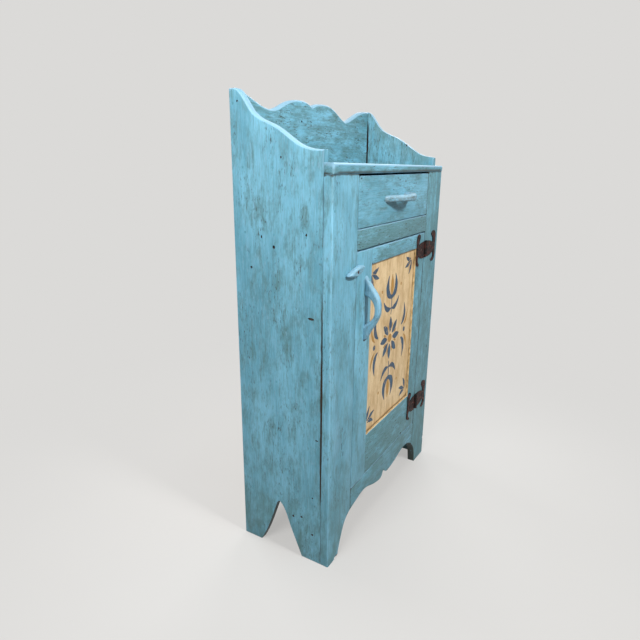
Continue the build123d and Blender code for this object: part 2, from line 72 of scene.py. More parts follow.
# %% Colour and node helpers
def paint_chip(hex_value):
    """An sRGB hex colour as linear RGBA."""
    parts = [int(hex_value[i:i + 2], 16) / 255 for i in (1, 3, 5)]
    linear = [c / 12.92 if c <= 0.04045 else ((c + 0.055) / 1.055) ** 2.4 for c in parts]
    return (*linear, 1)


def add(tree, kind, inputs=None, **settings):
    """Adds one node with its settings. An input is a value, or a socket to link from."""
    node = tree.nodes.new("ShaderNode" + kind)
    for name, value in settings.items():
        setattr(node, name, value)
    for name, value in (inputs or {}).items():
        if isinstance(value, bpy.types.NodeSocket):
            tree.links.new(value, node.inputs[name])
        else:
            node.inputs[name].default_value = value
    return node


def new_material(name):
    """An empty material with its shader, and the tree to build on."""
    material = bpy.data.materials.new(name)
    material.use_nodes = True
    tree = material.node_tree
    tree.nodes.clear()
    shader = add(tree, "BsdfPrincipled")
    add(tree, "OutputMaterial", {"Surface": shader.outputs[0]})
    return material, tree, shader


print("blue chip", [round(c, 3) for c in paint_chip("#74aec2")])

# %% [markdown]
# ## Patterns and coats
#
# Paint builds up in coats. Each coat here is one colour over what lies below it, and
# a pattern says where it took: nowhere at one value of the pattern, in full at
# another, and softly between. A pattern is often several noises added up, each by its
# share. A colour ramp would do the same, but it hides its numbers in the node.

# %% Patterns added up, and one coat over another
def mixture(tree, base, *shares):
    """A pattern or number, with other patterns added to it by their shares."""
    for pattern, share in shares:
        term = {0: pattern, 1: share, 2: base}
        base = add(tree, "Math", term, operation="MULTIPLY_ADD").outputs[0]
    return base


def coat(tree, ground, paint, pattern, start, end, strength=1.0):
    """Paint over a ground: none where the pattern is at start, its full strength at end."""
    step = {"Value": pattern, "From Min": start, "From Max": end, "To Max": strength}
    amount = add(tree, "MapRange", step, interpolation_type="SMOOTHSTEP").outputs[0]
    return add(tree, "Mix", {0: amount, 6: ground, 7: paint}, data_type="RGBA").outputs[2]


print("a pattern is a sum of noises, and a coat is a soft step and a mix")

# %% [markdown]
# ## What a board tells its paint
#
# A brush follows the length of each board, and an old edge wears where a hand or a
# broom meets it. One paint material can do that for every board if each board
# carries a few facts in its mesh as attributes: how far a point lies along and
# across the grain, how far it is from each end of the board, and which edges are
# rubbed (above zero) or packed with grime in a joint (below zero).

# %% Read the grain pattern from a board
def noise_along(tree, along_mm, across_mm, detail=4, roughness=0.55, shift=0.0):
    """Noise drawn out along the grain, with its size given in millimetres."""
    place = add(tree, "Attribute", attribute_name="grain").outputs["Vector"]
    seed = add(tree, "Attribute", attribute_name="seed").outputs["Fac"]
    scale = (1 / (along_mm * MM), 1 / (across_mm * MM), 1 / (across_mm * MM))
    drawn = add(tree, "VectorMath", {0: place, 1: scale}, operation="MULTIPLY").outputs[0]
    moved = add(tree, "Math", {0: seed, 1: shift}, operation="ADD").outputs[0]
    pattern = {"Vector": drawn, "W": moved, "Scale": 1.0, "Detail": detail, "Roughness": roughness}
    return add(tree, "TexNoise", pattern, noise_dimensions="4D").outputs["Fac"]


print("noise reads the attributes grain and seed")

# %% Read the wear at the edges
# the face at a board's very end isn't beside that end: wear there counts in full only
# where the normal's share along that axis is 1 - 1 / TURN or less
TURN = 4.0


def edge_amount(tree, ragged):
    """How rubbed (above 0) or grimy (below 0) a point is, by its distance to the edges."""
    ones = (1, 1, 1)
    normal = add(tree, "TexCoord").outputs["Normal"]
    facing = add(tree, "VectorMath", {0: normal}, operation="ABSOLUTE").outputs[0]
    flat = add(tree, "VectorMath", {0: ones, 1: facing}, operation="SUBTRACT").outputs[0]
    steep = add(tree, "VectorMath", {0: flat, "Scale": TURN}, operation="SCALE").outputs[0]
    aside = add(tree, "VectorMath", {0: steep, 1: ones}, operation="MINIMUM").outputs[0]
    width = add(tree, "Attribute", attribute_name="edge_width").outputs["Fac"]
    reach = add(tree, "Math", {0: ragged, 1: width}, operation="MULTIPLY").outputs[0]
    spread = add(tree, "Math", {0: 1.0, 1: reach}, operation="DIVIDE").outputs[0]
    total = 0.0
    for end in ("low", "high"):
        gap = add(tree, "Attribute", attribute_name="from_" + end).outputs["Vector"]
        wear = add(tree, "Attribute", attribute_name="wear_" + end).outputs["Vector"]
        far = add(tree, "VectorMath", {0: gap, "Scale": spread}, operation="SCALE").outputs[0]
        near = add(tree, "VectorMath", {0: ones, 1: far}, operation="SUBTRACT").outputs[0]
        held = add(tree, "VectorMath", {0: near, 1: (0, 0, 0)}, operation="MAXIMUM").outputs[0]
        seen = add(tree, "VectorMath", {0: held, 1: aside}, operation="MULTIPLY").outputs[0]
        worn = add(tree, "VectorMath", {0: seen, 1: wear}, operation="DOT_PRODUCT")
        total = mixture(tree, total, (worn.outputs["Value"], 1.0))
    return total


print("edge wear reads from_low, from_high, wear_low, wear_high and edge_width")

# %% [markdown]
# ## Brushed milk paint
#
# The finish is casein paint over pine: flat, a little chalky, brushed up and down
# the board and then wiped with a dark glaze, so that the brush marks hold thin olive
# and umber lines. That gives the eye a soft, satin surface, light on the worn
# edges and dark in the pores. It could be painted by hand on an image, but layers
# of noise at the real sizes of brush hairs and pores hold up at any distance.

# %% Scuffs on the left side
# a point in mm, and the reach of the scuff along x, y and z
SCUFFS = (
    ((-350, 88, 918), (20, 30, 55)), ((-350, -45, 918), (20, 14, 40)),
    ((-350, 24, 675), (20, 26, 50)), ((-350, 11, 595), (20, 26, 60)),
    ((-350, 55, 359), (20, 28, 45)), ((-350, 15, 270), (20, 22, 50)),
    ((-350, 108, 46), (20, 26, 26)), ((-350, -48, 20), (20, 34, 26)),
)


def scuffed(tree):
    """1 in the middle of a scuff, and 0 away from all of them."""
    place = add(tree, "TexCoord").outputs["Object"]
    total = 0.0
    for point, reach in SCUFFS:
        centre, span = ([c * MM for c in corner] for corner in (point, reach))
        apart = add(tree, "VectorMath", {0: place, 1: centre}, operation="SUBTRACT").outputs[0]
        share = add(tree, "VectorMath", {0: apart, 1: span}, operation="DIVIDE").outputs[0]
        length = add(tree, "VectorMath", {0: share}, operation="LENGTH").outputs["Value"]
        near = {"Value": length, "From Min": 1.2, "From Max": 0.3}
        spot = add(tree, "MapRange", near, interpolation_type="SMOOTHSTEP").outputs[0]
        total = mixture(tree, total, (spot, 1.0))
    return total


print(len(SCUFFS), "scuffs")


# %% The patterns in the paint
def paint_patterns(tree, size):
    """The noises of a brushed board, with their length and width on it in mm."""
    # the hairs of a real brush leave lines a few tenths of a millimetre wide, too
    # fine for a picture of the whole cupboard, so they are drawn 2 to 3 mm wide
    return {
        "brush": noise_along(tree, 120 * size, 3.0, detail=5),
        "hairs": noise_along(tree, 40, 1.7, detail=3, roughness=0.6, shift=31.3),
        "marks": noise_along(tree, 17 * size, 4.0, detail=4, roughness=0.62, shift=15.2),
        "pores": noise_along(tree, 14, 3.4, detail=3, roughness=0.6, shift=18.9),
        "patch": noise_along(tree, 62 * size, 22 * size, detail=6, roughness=0.72, shift=12.4),
        "crowd": noise_along(tree, 110 * size, 46 * size, detail=4, roughness=0.6, shift=23.5),
        "zone": noise_along(tree, 190 * size, 80 * size, detail=5, roughness=0.6, shift=7.7),
    }


# %% The two blues, and the glaze wiped over them
def base_coats(tree, p, glaze_and_shade, scuff, chips):
    """Two blues in brushed zones, greyed where the glaze was left on, and greyed as painted shade
    on boards that get less light.
    """
    thick = mixture(tree, p["zone"], (p["brush"], 0.5), (p["marks"], 0.3))
    colour = coat(tree, chips["body"], chips["sky"], thick, 0.76, 1.06)
    # each board's own share greys it further: more glaze kept, and painted shade on boards that get
    # less light
    wiped = mixture(tree, p["patch"], (p["brush"], 0.4), (glaze_and_shade, 0.14), (scuff, 0.06))
    return coat(tree, colour, chips["greyed"], wiped, 0.66, 0.92, 0.85)


def brush_marks(tree, p, gathered, chips, colour):
    """Short dark and pale marks, the lines of the brush's hairs, and dark pores."""
    dull = [0.65 * grey + 0.35 * dark for grey, dark in zip(chips["greyed"], chips["glaze"])]
    crowding = mixture(tree, 0.28, (gathered, 0.62))
    colour = coat(tree, colour, dull, p["marks"], 0.52, 0.70, crowding)
    colour = coat(tree, colour, chips["worn"], p["marks"], 0.44, 0.32, 0.45)
    colour = coat(tree, colour, chips["greyed"], p["hairs"], 0.50, 0.66, 0.42)
    colour = coat(tree, colour, chips["worn"], p["hairs"], 0.48, 0.34, 0.30)
    in_pores = mixture(tree, 0.0, (gathered, 0.85))
    return coat(tree, colour, chips["glaze"], p["pores"], 0.57, 0.67, in_pores)


# %% Dirt and painted shade low down, and what use has done
# dirt from the floor and painted shade, darker towards the floor, reach up to this height, in
# metres
DIRT_AND_SHADE_TO = 0.34


def floor_dirt_and_shade(tree, p, chips, colour):
    """Dirt on the feet in patches, with painted shade: greyer towards the floor."""
    place = add(tree, "TexCoord").outputs["Object"]
    height = add(tree, "SeparateXYZ", {0: place}).outputs[2]
    # the lower a point, the more grey it takes: floor dirt, and painted shade of the light falling
    # off downwards
    low_down = {"Value": height, "From Min": DIRT_AND_SHADE_TO, "From Max": 0.0, "To Max": 0.7}
    dirt = add(tree, "MapRange", low_down, interpolation_type="SMOOTHSTEP").outputs[0]
    return coat(tree, colour, chips["greyed"], p["patch"], 0.25, 0.65, dirt)


def worn_by_use(tree, p, chips, colour):
    """Paint rubbed off rounded edges, paler on upward ones as painted highlight; left off sawn
    ones, dark there with painted shade; grimy in the joints, and dark as painted shade at the door
    handle's foot.
    """
    rounded = add(tree, "Attribute", attribute_name="rounded").outputs["Fac"]
    # rubbed paint, and a painted highlight on edge faces that look upwards
    bared = mixture(tree, 0.0, (rounded, 0.8))
    colour = coat(tree, colour, chips["worn"], p["patch"], 0.22, 0.50, bared)
    # sawn faces go dark: unpainted wood, and painted shade in the arches, under the sides and along
    # the door gap
    below_zero = {"Value": rounded, "From Min": -0.2, "From Max": -0.6, "To Max": 0.9}
    sawn = add(tree, "MapRange", below_zero, interpolation_type="SMOOTHSTEP").outputs[0]
    colour = coat(tree, colour, chips["glaze"], p["patch"], 0.20, 0.42, sawn)
    edge = edge_amount(tree, mixture(tree, 0.5, (p["patch"], 1.0)))
    rubbed = mixture(tree, edge, (p["brush"], 0.35))
    colour = coat(tree, colour, chips["worn"], rubbed, 0.55, 1.05, 0.6)
    # grime in the joints; at the door handle's lower end it is painted shade as well
    grimy = mixture(tree, -0.45, (edge, -1.0), (p["brush"], 0.3), (p["patch"], 0.9))
    return coat(tree, colour, chips["glaze"], grimy, 0.50, 1.05, 0.9)


# %% Where the panel's cream ran over onto the frame
CREAM, CREAM_DIRT = paint_chip("#dcc596"), paint_chip("#a88757")


def overrun_with_cream(tree, p, colour):
    """The panel's cream on the faces that its painter ran over onto."""
    overrun = add(tree, "Attribute", attribute_name="overrun").outputs["Fac"]
    cream = coat(tree, CREAM, CREAM_DIRT, p["marks"], 0.40, 0.66)
    return coat(tree, colour, cream, overrun, 0.0, 1.0)


print("cream", [round(c, 3) for c in CREAM])

# %% The blue paint
BLUE = {
    "body": "#5d9bb0", "sky": "#79b9d1", "greyed": "#537c7f", "glaze": "#30352d", "worn": "#8ab4cc",
}
HANDLED_BLUE = {
    "body": "#6199b0", "sky": "#84b5cd", "greyed": "#5f6d69", "glaze": "#2e2c26", "worn": "#98c0d6",
}
CASEIN_IOR = 1.45


def brushed_paint(name, colours, size=1.0):
    """Milk paint in the given colours, brushed along each board; size scales its marks."""
    material, tree, shader = new_material(name)
    chips = {part: paint_chip(value) for part, value in colours.items()}
    p = paint_patterns(tree, size)
    glaze_and_shade = add(tree, "Attribute", attribute_name="glaze_and_shade").outputs["Fac"]
    scuff = scuffed(tree)
    crowds = mixture(tree, p["crowd"], (glaze_and_shade, 0.10), (scuff, 0.2))
    step = {"Value": crowds, "From Min": 0.46, "From Max": 0.64}
    gathered = add(tree, "MapRange", step, interpolation_type="SMOOTHSTEP").outputs[0]

    colour = base_coats(tree, p, glaze_and_shade, scuff, chips)
    colour = brush_marks(tree, p, gathered, chips, colour)
    colour = floor_dirt_and_shade(tree, p, chips, colour)
    colour = worn_by_use(tree, p, chips, colour)
    tree.links.new(overrun_with_cream(tree, p, colour), shader.inputs["Base Color"])

    rough = add(tree, "MapRange", {"Value": p["patch"], "To Min": 0.42, "To Max": 0.70}).outputs[0]
    tree.links.new(rough, shader.inputs["Roughness"])
    step = {"Value": p["pores"], "From Min": 0.57, "From Max": 0.67, "To Max": gathered}
    pits = add(tree, "MapRange", step, interpolation_type="SMOOTHSTEP").outputs[0]
    relief = mixture(tree, p["brush"], (p["marks"], 0.5), (pits, -0.8))
    bump = add(tree, "Bump", {"Height": relief, "Strength": 0.5, "Distance": 0.5 * MM})
    tree.links.new(bump.outputs[0], shader.inputs["Normal"])
    shader.inputs["IOR"].default_value = CASEIN_IOR
    return material


blue_paint = brushed_paint("brushed blue milk paint on pine", BLUE)
handled_paint = brushed_paint("blue milk paint rubbed pale by hands", HANDLED_BLUE, size=0.4)
print(blue_paint.name, len(blue_paint.node_tree.nodes), "nodes")

# %% [markdown]
# ## Bare pine
#
# Inside, the boards were never painted. Old pine goes a dull brown, with darker
# late wood in lines a few millimetres apart. The same grain attributes draw it, so
# the lines run along each board. A knock bares the same wood, black with old dirt,
# and darker still as painted shade for its hollow.

# %% Bare and broken wood
def bare_wood(name, early, late, dirt):
    """Unpainted wood with grain lines about 5 mm apart, and dirt in patches."""
    material, tree, shader = new_material(name)
    early, late, dirt = paint_chip(early), paint_chip(late), paint_chip(dirt)
    rings = noise_along(tree, 400, 5, detail=3)
    fibres = noise_along(tree, 50, 0.8, detail=2, shift=4.2)
    patch = noise_along(tree, 160, 60, detail=4, shift=9.3)
    colour = coat(tree, early, late, rings, 0.42, 0.62)
    colour = coat(tree, colour, late, fibres, 0.5, 0.75, 0.4)
    colour = coat(tree, colour, dirt, patch, 0.45, 0.7, 0.6)
    tree.links.new(colour, shader.inputs["Base Color"])
    shader.inputs["Roughness"].default_value = 0.78
    bump = add(tree, "Bump", {"Height": rings, "Strength": 0.4, "Distance": 0.4 * MM})
    tree.links.new(bump.outputs[0], shader.inputs["Normal"])
    return material


inside_pine = bare_wood("bare pine darkened by age", "#9f7d58", "#7c5b3d", "#4f3d2d")
# near-black: old dirt in the bared wood, and painted shade for the hollow of a knock or an open
# joint
knocked_pine_dirt_and_shade = bare_wood(
    "pine bared by a knock, with old dirt in it", "#3c2f22", "#241c15", "#120f0c",
)
print(inside_pine.name, "and", knocked_pine_dirt_and_shade.name)

# %% [markdown]
# ## Iron
#
# The hinges are wrought iron: hammered, blacked, and rusted since. Rust is rough
# and reflects like earth rather than like metal, so the metallic value stays at
# nothing. Nail heads are the same iron under a skin of paint.

# %% Hinge iron and nail heads
def rusted_iron(name, black, rust, pale, patch_mm, pit_mm):
    """Iron with rust in patches, scuffed spots and pits of the given sizes."""
    material, tree, shader = new_material(name)
    black, rust, pale = paint_chip(black), paint_chip(rust), paint_chip(pale)
    place = add(tree, "TexCoord").outputs["Object"]
    spots = []
    for size_mm, detail in ((patch_mm, 5.0), (pit_mm, 4.0), (2.3 * pit_mm, 3.0)):
        spot = {"Vector": place, "Scale": 1 / (size_mm * MM), "Detail": detail}
        spots.append(add(tree, "TexNoise", spot).outputs["Fac"])
    patch, pits, scuff = spots
    colour = coat(tree, black, rust, patch, 0.45, 0.60)
    colour = coat(tree, colour, black, pits, 0.52, 0.66, 0.6)
    colour = coat(tree, colour, pale, scuff, 0.62, 0.74, 0.7)
    tree.links.new(colour, shader.inputs["Base Color"])
    shader.inputs["Roughness"].default_value = 0.7
    shader.inputs["Specular IOR Level"].default_value = 0.3
    relief = mixture(tree, pits, (patch, 2.0))
    bump = add(tree, "Bump", {"Height": relief, "Strength": 0.8, "Distance": 1.2 * MM})
    tree.links.new(bump.outputs[0], shader.inputs["Normal"])
    return material


hinge_iron = rusted_iron("hammered wrought iron, rusted", "#120d0c", "#45201a", "#866a60", 11, 3)
painted_nails = rusted_iron("iron nail heads under paint", "#639fb2", "#5a8f9c", "#7fbdd2", 6, 2)
bare_nails = rusted_iron("bare nail heads, rusted", "#2a211c", "#4b2c20", "#6d5546", 6, 2)
print(hinge_iron.name, "and", painted_nails.name)

# %% [markdown]
# ## The boards
#
# A CAD board has edges as sharp as its drawing. A real one had its corners taken
# off with sandpaper and a century of use rounded them further. Each board is copied
# from the frame, its doubled points merged and its long sharp edges bevelled. A
# bevel modifier would do the same, but the operator leaves nail holes alone.

# %% Facts about each board
AXES = {"x": 0, "y": 1, "z": 2}
NO_WEAR = (0, 0, 0)
# grain, thickness, wear at the low ends in x, y and z, wear at the high ends
BOARDS = {
    "left_side": ("z", "x", (0, -0.9, 0.6), (0, 0.5, 1.0)),
    "right_side": ("z", "x", (0, -0.9, 0.6), (0, 0.5, 1.0)),
    "gallery_back": ("x", "y", (-1.0, 0, -1.0), (-1.0, 0, 1.0)),
    "top_board": ("x", "z", (0.4, 0.5, -1.15), (0.4, -0.8, 1.0)),
    "left_stile": ("z", "y", (0.15, -0.4, 0.6), (-0.4, -0.7, -0.9)),
    "right_stile": ("z", "y", (-0.4, -0.4, 0.6), (0.4, -0.7, -0.9)),
    "drawer_rail": ("x", "y", (-0.5, 0, -0.3), (-0.5, 0, 0.9)),
    "apron": ("x", "y", (-0.9, 0, 0.5), (-0.5, 0, -0.7)),
    "drawer_front": ("x", "y", (-0.3, 0, 0.5), (-0.3, 0, -0.6)),
    "door_left_stile": ("z", "y", (0.5, 0, 0.5), (-0.3, 0, 0.7)),
    "door_right_stile": ("z", "y", (-0.6, 0, 0.5), (0.4, 0, 0.7)),
    "door_top_rail": ("x", "y", (-0.6, 0, -0.5), (-0.6, 0, 0.9)),
    "door_bottom_rail": ("x", "y", (-0.5, 0, 0.6), (-0.5, 0, 0.8)),
    "door_panel": ("z", "y", (-0.9, 0, -1.0), (-0.5, 0, -0.9)),
    "turn_button": ("x", "y", NO_WEAR, NO_WEAR),
    # the handle's lower end is darkened: grime, and painted shade on its shadowed side
    "door_handle": ("z", "y", (0, 0, -1.1), NO_WEAR),
    "drawer_pull": ("x", "y", NO_WEAR, NO_WEAR),
}
# the boards inside and behind, by their grain and thickness
INNER_BOARDS = (
    ("xz", "bottom_shelf middle_shelf"),
    ("yz", "drawer_runner_left drawer_runner_right"),
    ("yz", "drawer_guide_left drawer_guide_right drawer_stops"),
    ("zy", "door_stop"), ("yx", "drawer_left_side drawer_right_side"), ("xy", "drawer_back"),
    ("xz", "drawer_bottom"), ("zy", "back_plank_1 back_plank_2 back_plank_3 back_plank_4"),
)
for axes, names in INNER_BOARDS:
    for name in names.split():
        BOARDS[name] = (*axes, NO_WEAR, NO_WEAR)
print(len(BOARDS), "boards")

# %% What sets some boards apart
# how far the edges are rounded, and how far the wear at them reaches
USUAL_ROUNDING_MM = 1.5
ROUNDING_MM = {"gallery_back": 1.0, "turn_button": 0.8}
USUAL_EDGE_MM = 7
EDGE_MM = {"top_board": 24, "door_panel": 11, "door_handle": 16}
# boards darker than the rest: partly more of the dark glaze kept on them, partly painted shade on
# boards that the lamps reach less
GLAZE_AND_SHADE = {
    "drawer_rail": 1.5, "door_bottom_rail": 1.2, "door_top_rail": 0.6, "gallery_back": 0.8,
    "apron": 0.8, "left_side": 0.15, "right_side": 0.9, "drawer_front": 0.2, "drawer_pull": 0.9,
    "top_board": 0.5, "right_stile": 1.1, "door_right_stile": 0.9,
}
SIDES = ("left_side", "right_side")
HANDLED = ("turn_button", "door_handle", "drawer_pull")
# the seam between a side and its stile, by height in metres: grimy below zero, and
# rubbed above the top board
SEAM = (
    (0.0, -0.6), (0.19, -0.6), (0.22, -1.2), (0.70, -1.2), (0.76, -0.6), (1.0, -0.6), (1.03, 0.9),
)
# the painter of the panel ran over the inner edges of the door's frame: those that
# face this way
OVERRUN = {
    "door_left_stile": (1, 0, 0), "door_right_stile": (-1, 0, 0),
    "door_top_rail": (0, 0, -1), "door_bottom_rail": (0, 0, 1),
}
# the cut edges that were left unpainted, and darkened further as painted shade in the arches, under
# the sides and along the door gap: those that face this way
SAWN_AND_SHADED = {
    "left_stile": (1, 0, 0), "right_stile": (-1, 0, 0), "apron": (0, 0, -1),
    "left_side": (0, 0, -1.6), "right_side": (0, 0, -1.6),
}
print(len(GLAZE_AND_SHADE), "boards kept more glaze, and", len(SAWN_AND_SHADED), "have sawn edges")

# %% The part of a board that shows
TENONED = ("drawer_rail", "apron")
DOOR_RAILS = ("door_top_rail", "door_bottom_rail")


def seen_span(name):
    """The low and high corners of the part of a board that shows, its tenons left out."""
    low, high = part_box(name)
    if name in TENONED:
        low.x, high.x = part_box("left_stile")[1].x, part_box("right_stile")[0].x
    if name in DOOR_RAILS or name == "door_panel":
        low.x, high.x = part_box("door_left_stile")[1].x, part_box("door_right_stile")[0].x
    if name == "door_panel":
        low.z, high.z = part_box("door_bottom_rail")[1].z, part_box("door_top_rail")[0].z
    return low, high


print("the left side reaches", [round(c, 3) for c in seen_span("left_side")[1]])

# %% [markdown]
# ## Dents and holes
#
# The knocks in the real boards are shallow, ragged and dark inside, because old dirt
# sits in the bared wood; their near-black colour is also painted shade for the hollow
# of a knock and of an open joint. Each one is a small lumpy ball that is cut out of its
# board with a Boolean modifier. The ball carries the bare wood, so the cut takes its
# colour. Painting them on would be quicker, but would not catch the light.

# %% Knock shapes
# board, point on it in mm, size of the knock in mm along x, y and z
KNOCKS = [
    ("left_side", (-350, 42, 847), (6, 3.6, 4.4)),
    ("left_side", (-350, 111, 792), (5, 3.2, 3.4)),
    ("left_side", (-350, -62, 686), (2.4, 9, 3.2)),
    ("left_side", (-350, -80, 370), (2, 5, 1.8)),
    ("left_side", (-350, -7.5, 120), (4, 3.2, 3.5)),
    ("left_side", (-350, -34, 127), (4, 4, 3)),
    ("left_side", (-350, -68, 198), (2.5, 2.2, 2.4)),
    ("left_side", (-350, -68, 84), (2, 3.4, 3)),
    ("left_side", (-350, 18.5, 1050), (2.5, 2, 2.6)),
    ("left_side", (-350, 138.5, 1172), (2.5, 2.2, 2.6)),
    ("left_side", (-350, -49, 881), (3, 2.2, 5)),
    ("left_side", (-350, 78, 869), (2.5, 2, 4)),
    ("left_side", (-350, -93, 440), (3.4, 2.4, 255)),
    ("right_side", (331, 0.9, 1097), (4, 3, 6)),
    ("right_side", (350, -93, 400), (2.6, 1.8, 180)),
    ("left_stile", (-350, -93, 440), (3.4, 2.4, 255)),
    ("left_stile", (-285, -117, 334), (1.6, 2, 12)),
    ("left_stile", (-278, -117, 310), (1.4, 2, 7)),
    ("left_stile", (-306, -117, 2), (10, 5, 7)),
    ("right_stile", (318, -117, 430), (2, 1.6, 6)),
    ("right_stile", (347, -117, 60), (4, 4, 8)),
    ("door_bottom_rail", (120, -117, 183), (4.5, 2.5, 3.5)),
    ("gallery_back", (-74, 143, 1146), (2.6, 2, 2.6)),
    ("gallery_back", (262, 143, 1111), (2.4, 2, 2.4)),
    ("drawer_front", (-27, -117, 972), (1.8, 1.4, 1.8)),
    ("drawer_front", (-216, -117, 1005), (2.6, 2, 2.6)),
    ("gallery_back", (331, 143, 1096), (6, 3, 76)),
    ("right_side", (331, 143, 1096), (2.5, 4, 76)),
]


# the lumps of a knock are this much finer than its least size, or than this share of
# its greatest, and this deep
LUMP_FINENESS, LEAST_SHARE, LUMP_DEPTH = 1.7, 0.05, 0.45
# how far apart in the noise one knock's lumps are from the next one's
KNOCK_STEP = 3.7
# a knock longer than this is an open joint, and its ball gets more faces
LONG_MM = 20


def knock_cutter(board):
    """All the knocks of one board as one mesh of lumpy balls."""
    mesh = bpy.data.meshes.new(board + "_knocks")
    bm = bmesh.new()
    for number, (name, point, size) in enumerate(KNOCKS):
        if name != board:
            continue
        lump_mm = max(min(size), LEAST_SHARE * max(size)) / LUMP_FINENESS
        shift = Vector((number * KNOCK_STEP, 0, 0))
        levels = 2 if max(size) < LONG_MM else 4
        ball = bmesh.ops.create_icosphere(bm, subdivisions=levels, radius=1.0)["verts"]
        bmesh.ops.scale(bm, verts=ball, vec=size)
        for vert in ball:
            lump = 1 + LUMP_DEPTH * noise.noise(vert.co / lump_mm + shift)
            vert.co = Vector((vert.co.x * lump, vert.co.y * lump, vert.co.z))
        bmesh.ops.translate(bm, verts=ball, vec=point)
    bmesh.ops.scale(bm, verts=bm.verts, vec=(MM, MM, MM))
    bm.to_mesh(mesh)
    bm.free()
    mesh.materials.append(knocked_pine_dirt_and_shade)
    return bpy.data.objects.new(board + "_knocks", mesh)


print(len(KNOCKS), "knocks")

# %% [markdown]
# ## The painted panel
#
# The door's panel is cream, with a design in slate blue and ochre. A folk painter
# builds such a design from single loaded strokes, each pressed down and lifted off,
# so every motif here is a stroke too: a row of circles along a curve, thin, thick
# and thin again. The distance to the nearest stroke is stored at each point of a
# fine grid, and the paint reads it. An outline drawn that way stays crisp, and its
# edge can be made to wear.

# %% Strokes of the brush
PANEL_CENTRE = (12.5, 545)
ROSETTE_PETALS = 8
CIRCLES_IN_STROKE = 44


def stroke(start, pull, end, widths):
    """One brush stroke as circles (x, z, radius) in mm along a curve, pressed as widths say."""
    t = np.linspace(0, 1, CIRCLES_IN_STROKE)[:, None]
    start, pull, end = np.array(start), np.array(pull), np.array(end)
    line = (1 - t) ** 2 * start + 2 * t * (1 - t) * pull + t ** 2 * end
    radius = np.interp(t[:, 0], np.linspace(0, 1, len(widths)), widths)
    return np.column_stack([line, radius])


def turned(circles, degrees):
    """The same stroke turned about the middle of the panel."""
    a = math.radians(degrees)
    x, z, radius = circles.T
    across = x * math.cos(a) - z * math.sin(a)
    up = x * math.sin(a) + z * math.cos(a)
    return np.column_stack([across, up, radius])


def mirrored(circles, across, up):
    """The same stroke mirrored left to right, top to bottom, or both."""
    return circles * np.array([across, up, 1])


def dot(x, z, radius):
    """A dab of the brush's tip."""
    return np.array([[x, z, radius]])


# %% The design
# strokes of the upper right quarter, laid in all four: start, pull, end, widths
QUARTER_BLUE = (
    ((4, 126), (44, 138), (22, 190), (6, 11, 10, 2)),
    ((3, 92), (34, 84), (52, 118), (2, 8, 7, 2)),
    ((84, 22), (116, 40), (98, 88), (3, 9, 7, 1.5)),
    ((132, 218), (112, 214), (98, 226), (2, 7, 2)),
    ((134, 212), (112, 200), (92, 196), (2, 7, 2)),
    ((138, 210), (136, 190), (122, 172), (2, 7, 2)),
)
QUARTER_OCHRE = stroke((104, 16), (128, 34), (126, 66), (2, 6, 4, 1)), dot(66, 152, 5)

blue_strokes = [dot(-106, 0, 8), dot(106, 0, 8)]
ochre_strokes = [dot(0, 0, 13)]
for number in range(ROSETTE_PETALS):
    angle = 360 / ROSETTE_PETALS * number
    blue_strokes.append(turned(stroke((0, 21), (3, 40), (0, 64), (3, 8, 11, 8, 2)), angle))
    between = angle + 180 / ROSETTE_PETALS
    ochre_strokes.append(turned(stroke((0, 30), (0, 38), (0, 50), (1.5, 4, 1)), between))
for up in (-1, 1):
    blue_strokes.append(mirrored(stroke((0, 74), (4, 96), (0, 128), (2.5, 2.5, 4)), 1, up))
    ochre_strokes.append(mirrored(stroke((0, 132), (2, 160), (0, 190), (4, 10, 9, 2)), 1, up))
    for across in (-1, 1):
        blue_strokes += [mirrored(stroke(*shape), across, up) for shape in QUARTER_BLUE]
        ochre_strokes += [mirrored(shape, across, up) for shape in QUARTER_OCHRE]
print(len(blue_strokes), "blue strokes and", len(ochre_strokes), "ochre ones")

# %% How deep a point lies in a stroke
# less than any true depth, so every stroke is nearer
FAR_OUTSIDE_MM = -50.0


def inside_by(points, strokes):
    """How far inside the nearest stroke each point is, in mm; outside is below zero."""
    best = np.full(len(points), FAR_OUTSIDE_MM)
    for x, z, radius in np.concatenate(strokes):
        gap = radius - np.hypot(points[:, 0] - x, points[:, 1] - z)
        best = np.maximum(best, gap)
    return best


# %% The panel's mesh
GRID_MM = 2.5


